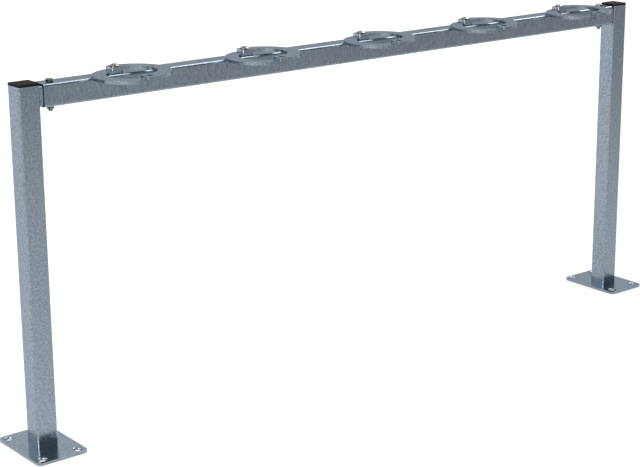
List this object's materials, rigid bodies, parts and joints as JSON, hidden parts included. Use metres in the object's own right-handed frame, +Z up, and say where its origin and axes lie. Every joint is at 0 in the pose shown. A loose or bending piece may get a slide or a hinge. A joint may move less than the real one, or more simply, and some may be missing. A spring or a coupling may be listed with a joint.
{
  "type": "scooter parking rack",
  "caption": "Galvanised crossbar on two floor-bolted posts, with plate jaws along it that close into a ring around a scooter stem and take a padlock.",
  "frame": {"origin": "on the floor, midway between the two posts, on the line through their middles", "axes": "+X along the crossbar to the right seen from the ring side, +Y to the back, +Z up"},
  "size_m": [1.578, 0.2015, 0.6714],
  "materials": {
    "galvanised_steel": "matt hot-dip zinc",
    "zinc_plated_fasteners": "bright zinc",
    "dark_pin_steel": "smooth dark steel",
    "black_plastic": "matt"
  },
  "bodies": {
    "rack": {"left_base_plate": "galvanised_steel", "right_base_plate": "galvanised_steel", "left_post": "galvanised_steel", "right_post": "galvanised_steel", "left_spigot": "galvanised_steel", "right_spigot": "galvanised_steel", "crossbar": "galvanised_steel", "fixed_jaw_1": "galvanised_steel", "fixed_jaw_2": "galvanised_steel", "fixed_jaw_3": "galvanised_steel", "fixed_jaw_4": "galvanised_steel", "fixed_jaw_5": "galvanised_steel", "left_joint_bolt": "zinc_plated_fasteners", "right_joint_bolt": "zinc_plated_fasteners", "left_joint_nut": "zinc_plated_fasteners", "right_joint_nut": "zinc_plated_fasteners", "pivot_pin_1": "dark_pin_steel", "pivot_pin_2": "dark_pin_steel", "pivot_pin_3": "dark_pin_steel", "pivot_pin_4": "dark_pin_steel", "pivot_pin_5": "dark_pin_steel", "left_post_cap": "black_plastic", "right_post_cap": "black_plastic"},
    "jaw_1": {"swing_jaw_1": "galvanised_steel"},
    "jaw_2": {"swing_jaw_2": "galvanised_steel"},
    "jaw_3": {"swing_jaw_3": "galvanised_steel"},
    "jaw_4": {"swing_jaw_4": "galvanised_steel"},
    "jaw_5": {"swing_jaw_5": "galvanised_steel"}
  },
  "joints": [
    {"name": "jaw_1_pivot", "type": "hinge", "parent": "rack", "child": "jaw_1", "pos_m": [-0.561, 0, 0.6638], "axis": [0, 0, 1], "range_deg": [0, 180]},
    {"name": "jaw_2_pivot", "type": "hinge", "parent": "rack", "child": "jaw_2", "pos_m": [-0.2805, 0, 0.6638], "axis": [0, 0, 1], "range_deg": [0, 180]},
    {"name": "jaw_3_pivot", "type": "hinge", "parent": "rack", "child": "jaw_3", "pos_m": [0, 0, 0.6638], "axis": [0, 0, 1], "range_deg": [0, 180]},
    {"name": "jaw_4_pivot", "type": "hinge", "parent": "rack", "child": "jaw_4", "pos_m": [0.2805, 0, 0.6638], "axis": [0, 0, 1], "range_deg": [0, 180]},
    {"name": "jaw_5_pivot", "type": "hinge", "parent": "rack", "child": "jaw_5", "pos_m": [0.561, 0, 0.6638], "axis": [0, 0, 1], "range_deg": [0, 180]}
  ]
}
